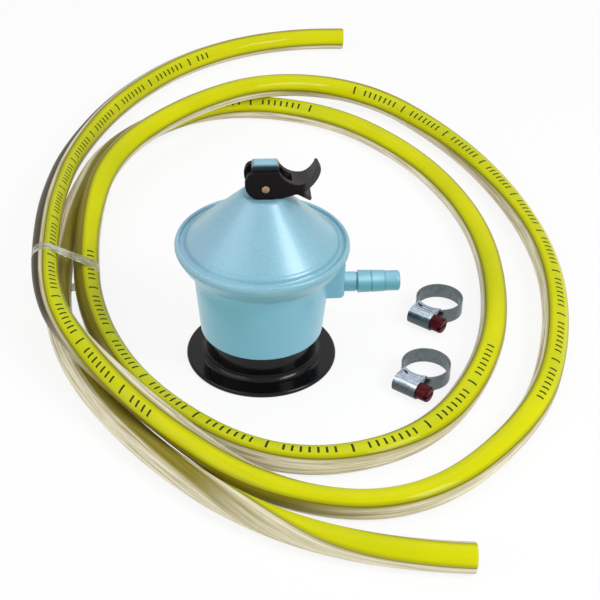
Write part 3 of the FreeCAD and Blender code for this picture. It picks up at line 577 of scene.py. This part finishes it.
def leverFinish(c):
    f = Finish("satin black lever", Specular_IOR_Level=0.12)
    here = f.place()
    x, y, _ = f.axes(here)
    grain = f.noise(here, c["grain"])
    blotch = f.noise(here, c["blotches"], 2.0)
    dish = x.rise(*c["dish"]) * (1 - abs(y).rise(*c["dishHalf"]))  # the thumb's hollow, where the sheen is painted
    # painted sheen in the hollow, with faint paler grain all over
    worn = dish * (0.55 + blotch * 0.7) + grain.rise(0.62, 0.8) * 0.12
    f.feed(Base_Color=f.blend(worn, c["black"], c["rubbed"]), Roughness=0.4 + grain * 0.16 + blotch * 0.08)
    f.bump(grain, c["relief"])
    return f


wear(("lever",), leverFinish(satin))


# turned brass: rings left by the tool about each piece's own axis; the lever's pin is paler

brass = {"bright": paint(196, 164, 104), "dull": paint(148, 116, 70), "stain": paint(112, 84, 52),
         "metallic": 1.0, "rings": 2600.0, "stains": 190.0, "relief": 0.000025}
pinBrass = dict(brass, bright=paint(186, 158, 122), dull=paint(152, 124, 92), stain=paint(122, 98, 70),
                metallic=0.5)


def turnedFinish(name, c, axis, centre):
    # radius from the axis and height along it, fed to a noise, so that the marks run round
    f = Finish(name, Metallic=c["metallic"])
    here = f.place()
    spread = dict(zip("XYZ", f.axes(here)))
    height = spread.pop(axis)
    p, q = (value - middle for value, middle in zip(spread.values(), centre))
    radius = (p * p + q * q) ** 0.5
    rings = f.noise(f.point(radius, height, 0.0), c["rings"], 3.0, 0.6)
    stain = f.noise(here, c["stains"])
    shade = f.blend(rings.rise(0.35, 0.65), c["dull"], c["bright"])
    shade = f.blend(stain.rise(0.5, 0.75) * 0.5, shade, c["stain"])
    f.feed(Base_Color=shade, Roughness=0.24 + rings * 0.16 + stain * 0.12)
    f.bump(rings, c["relief"])
    return f


wear(("inlet_nose", "inlet_filter", "diaphragm_hub", "spring_adjuster", "rod_gland"),
     turnedFinish("turned brass", brass, "Z", (0.0, 0.0)))
wear(("jet", "seat_holder"), turnedFinish("turned brass, valve", brass, "Z", (-0.0235, 0.0)))
wear(("lever_pin",), turnedFinish("turned brass, pin", pinBrass, "Y", (0.001, 0.1012)))


# zinc plate: pale crystals of about a millimetre, rubbed bright and dulled in places

zinc = {"bright": paint(186, 194, 198), "mid": paint(146, 156, 160), "dull": paint(104, 112, 116),
        "crystals": 1500.0, "patches": 330.0, "patchShare": 0.45, "hairs": 300.0, "hairTurn": 0.7,
        "hairStretch": 12.0, "relief": 0.00003}
bandZinc = dict(zinc, bright=paint(122, 130, 132), mid=paint(98, 107, 108), dull=paint(74, 82, 84),
                crystals=1700.0, patchShare=0.35)
saddleZinc = dict(zinc, bright=paint(182, 192, 202), mid=paint(146, 156, 168),
                  dull=paint(104, 114, 124), crystals=1300.0, patchShare=0.3,
                  barrel=paint(58, 68, 70), barrelTop=(0.0074, 0.0082), streak=paint(246, 250, 252),
                  shoulder=0.0086, shoulderHalf=0.0005, unevenBy=0.0012, uneven=260.0)


def zincCoat(f, c):
    here = f.place()
    crystal = f.flakes(here, c["crystals"])
    patch = f.noise(here, c["patches"], 3.0, 0.6)
    drawnOut = f.node("Mapping", None, {"Vector": here, "Rotation": (0.0, 0.0, c["hairTurn"]),
                                        "Scale": (1.0, c["hairStretch"], c["hairStretch"])})
    hair = f.noise(drawnOut, c["hairs"], 2.0)
    shade = f.blend(crystal * 0.7, c["mid"], c["bright"])
    shade = f.blend(patch.rise(0.45, 0.68) * c["patchShare"], shade, c["dull"])
    rough = 0.2 + crystal * 0.08 + patch * 0.14
    height = crystal * 0.3 + hair * 0.4 + patch * 0.3
    return shade, rough, height


def zincFinish(name, c):
    f = Finish(name, Metallic=1.0)
    shade, rough, height = zincCoat(f, c)
    f.feed(Base_Color=shade, Roughness=rough)
    f.bump(height, c["relief"])
    return f


def saddleFinish(c):
    # by height: painted shade makes the rolled barrel darker below, a painted highlight runs bright along
    # its shoulder, and plain zinc is on top
    f = Finish("zinc plate, saddle", Metallic=1.0)
    shade, rough, height = zincCoat(f, c)
    here = f.place()
    uneven = f.axes(here)[2] + (f.noise(here, c["uneven"], 2.0) - 0.5) * c["unevenBy"]
    shade = f.blend((1 - uneven.rise(*c["barrelTop"])) * 0.85, shade, c["barrel"])
    shade = f.blend(uneven.near(c["shoulder"], c["shoulderHalf"]), shade, c["streak"])
    f.feed(Base_Color=shade, Roughness=rough)
    f.bump(height, c["relief"])
    return f


wear(("valve_coupling", "diaphragm_plate", "hub_nut", "rocker_arm"), zincFinish("zinc plate", zinc))
wear(("clamp_1_band", "clamp_2_band"), zincFinish("zinc plate, band", bandZinc))
wear(("clamp_1_housing", "clamp_2_housing"), saddleFinish(saddleZinc))


# balls and pin: hardened steel, ground smooth

ground = {"dull": paint(176, 178, 182), "bright": paint(206, 208, 210), "haze": 900.0, "relief": 0.000006}


def groundFinish(c):
    f = Finish("ground steel", Metallic=1.0)
    haze = f.noise(f.place(), c["haze"])
    f.feed(Base_Color=f.blend(haze, c["dull"], c["bright"]), Roughness=0.1 + haze * 0.12)
    f.bump(haze, c["relief"])
    return f


wear(("locking_ball_1", "locking_ball_2", "locking_ball_3", "locking_ball_4", "rocker_pin"),
     groundFinish(ground))


# springs: drawn wire under a film of oil

wire = {"clean": paint(118, 118, 122), "oily": paint(84, 82, 82), "drawn": 1500.0, "oil": 120.0,
        "relief": 0.00002, "sides": 12, "turnSteps": 36, "merge": 0.00001}
springs = {"collar_coil": {"node": "collar_spring", "joint": "collar_lift", "radius": 0.0243,
                           "thick": 0.0008, "low": 0.0160, "high": 0.0300, "turns": 3.5, "travel": 0.006},
           "pressure_coil": {"node": "pressure_spring", "joint": "diaphragm_lift", "radius": 0.0140,
                             "thick": 0.0012, "low": 0.0672, "high": 0.0790, "turns": 3.5,
                             "travel": 0.002},
           "plunger_coil": {"node": "plunger_spring", "joint": "plunger_lift", "radius": 0.00585,
                            "thick": 0.0008, "low": 0.0796, "high": 0.0900, "turns": 4.0,
                            "travel": 0.0043982}}


def springFinish(c):
    f = Finish("oiled spring wire", Metallic=1.0, Coat_Weight=0.3, Coat_Roughness=0.12)
    here = f.place()
    drawn = f.noise(here, c["drawn"], 4.0, 0.6)
    oil = f.noise(here, c["oil"], 2.0)
    f.feed(Base_Color=f.blend(oil.rise(0.35, 0.7), c["clean"], c["oily"]), Roughness=0.28 + drawn * 0.18)
    f.bump(drawn, c["relief"])
    return f


def makeSpring(name, s, w, finish):
    # the wire's circle, thick in radius, carried up a helix about Z and shrunk to a point at each end
    sides, steps = w["sides"], round(s["turns"] * w["turnSteps"])
    turn = np.linspace(0, s["turns"] * 2 * np.pi, steps + 1)
    turn = np.r_[turn[0], turn, turn[-1]]
    size = np.full(len(turn), s["thick"])
    size[[0, -1]] = 0
    climb = s["high"] - s["low"] - 2 * s["thick"]
    flat = np.zeros(len(turn))
    out = np.stack([np.cos(turn), np.sin(turn), flat], axis=1)
    middle = out * s["radius"]
    middle[:, 2] = s["low"] + s["thick"] + climb * turn / turn[-1]
    ahead = np.stack([-np.sin(turn), np.cos(turn), flat + climb / (turn[-1] * s["radius"])], axis=1)
    ahead /= np.linalg.norm(ahead, axis=1, keepdims=True)
    angle = np.arange(sides) * 2 * np.pi / sides
    ring = out[:, None] * np.cos(angle)[:, None] + np.cross(ahead, out)[:, None] * np.sin(angle)[:, None]
    points = middle[:, None] + size[:, None, None] * ring
    made = meshObject(name, points.reshape(-1, 3), gridFaces(len(turn), sides, False, True))
    merged = bmesh.new()
    merged.from_mesh(made.data)
    bmesh.ops.remove_doubles(merged, verts=merged.verts, dist=w["merge"])
    merged.to_mesh(made.data)
    merged.free()
    made.data.materials.append(finish.material)
    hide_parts(s["node"])
    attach(made, "regulator")
    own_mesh(made)


oiledWire = springFinish(wire)
wear(("collar_retainer",), oiledWire)
for name, spring in springs.items():
    makeSpring(name, spring, wire, oiledWire)
print("springs wound:", len(springs))


# rubber: matt black with a pale bloom

rubber = {"black": paint(30, 30, 31), "bloom": paint(78, 78, 76), "blooms": 320.0, "grain": 4200.0,
          "relief": 0.00003}


def rubberFinish(c):
    f = Finish("seal rubber", Specular_IOR_Level=0.35)
    here = f.place()
    bloom = f.noise(here, c["blooms"], 4.0, 0.6)
    grain = f.noise(here, c["grain"], 2.0)
    f.feed(Base_Color=f.blend(bloom.rise(0.5, 0.8) * 0.6, c["black"], c["bloom"]),
           Roughness=0.62 + bloom * 0.2)
    f.bump(grain, c["relief"])
    return f


wear(("coupling_seal", "rod_seal", "seat_pad", "diaphragm", "hub_seal", "outlet_seal"),
     rubberFinish(rubber))


# clamp screws: dark red moulded heads on zinc-plated worms; the head starts at its own distance
# along the screw's axis

screws = {"headFrom": (0.00665, 0.00675), "red": paint(92, 0, 10), "redDeep": paint(40, 0, 5),
          "tints": 500.0, "joints": ("clamp_1_turn", "clamp_2_turn")}


def screwFinish(joint, c):
    f = Finish("screw with red head, " + joint["name"], Specular_IOR_Level=0.1)
    here = f.place()
    along = f.node("VectorMath", {"operation": "DOT_PRODUCT"}, {0: here, 1: joint["axis"]}, out="Value")
    along = along - float(np.dot(joint["axis"], joint["pos_m"]))
    head = along.rise(*c["headFrom"])
    shade, rough, height = zincCoat(f, zinc)
    tint = f.noise(here, c["tints"])
    f.feed(Base_Color=f.blend(head, shade, f.blend(tint, c["red"], c["redDeep"])),
           Metallic=1 - head, Roughness=rough * (1 - head) + (0.26 + tint * 0.14) * head,
           Coat_Weight=head * 0.04)
    f.bump(height, zinc["relief"])
    return f


for joint in frame["joints"]:
    if joint["name"] in screws["joints"]:
        wear((joint["name"].replace("turn", "screw"),), screwFinish(joint, screws))
print("metal, plastic and rubber finished")


# floor, world and lamps

studio = {"floor": 12.0, "floorMatt": (0.95, 0.95, 0.95, 1), "ambient": 0.42, "white": 1.0,
          "glow": 0.86, "aim": (0, 0, 0.04),
          "lamps": {"key": {"at": (0.78, -0.51, 0.83), "size": 0.5, "watts": 7.8, "tint": (1.0, 1.0, 1.0)},
                    "fill": {"at": (-1.3, -0.65, 0.9), "size": 1.6, "watts": 12.0,
                             "tint": (0.97, 0.97, 1.0)},
                    "top": {"at": (0.0, 0.5, 1.2), "size": 1.2, "watts": 4.0, "tint": (1.0, 1.0, 1.0)}}}


def seenDirectly(n):
    # 1 for rays from the camera, off a gloss or through glass, 0 for those that only light
    seen = n.node("LightPath", out="Is Camera Ray")
    for ray in ("Is Glossy Ray", "Is Transmission Ray"):
        seen = seen.larger(n.node("LightPath", out=ray))
    return seen


def makeFloor(s):
    half = s["floor"] / 2
    corners = np.array([(-half, -half, 0), (half, -half, 0), (half, half, 0), (-half, half, 0)])
    floor = meshObject("floor", corners, np.array([[0, 1, 2, 3]]), False)
    material = bpy.data.materials.new("pale floor")
    n = Nodes(material)
    matt = n.node("BsdfDiffuse", None, {"Color": s["floorMatt"]})
    glow = n.node("Emission", None, {"Strength": s["white"]})
    mixed = n.node("MixShader", None, {0: seenDirectly(n) * s["glow"], 1: matt, 2: glow})
    n.node("OutputMaterial", None, {0: mixed})
    floor.data.materials.append(material)


def makeWorld(s):
    world = bpy.data.worlds.new("studio")
    bpy.context.scene.world = world
    n = Nodes(world)
    level = n.node("MapRange", None, {"Value": seenDirectly(n), "To Min": s["ambient"],
                                      "To Max": s["white"]})
    n.node("OutputWorld", None, {0: n.node("Background", None, {"Strength": level})})


def makeLamp(name, l, aim):
    light = bpy.data.lights.new(name, "AREA")
    light.shape, light.size, light.energy, light.color = "SQUARE", l["size"], l["watts"], l["tint"]
    lamp = bpy.data.objects.new(name, light)
    lamp.location = l["at"]
    lamp.rotation_mode = "QUATERNION"
    lamp.rotation_quaternion = (Vector(aim) - Vector(l["at"])).to_track_quat("-Z", "Y")
    bpy.context.scene.collection.objects.link(lamp)


makeFloor(studio)
makeWorld(studio)
for name, lamp in studio["lamps"].items():
    makeLamp(name, lamp, studio["aim"])
bpy.context.scene.view_settings.view_transform = "Standard"
print("studio set")
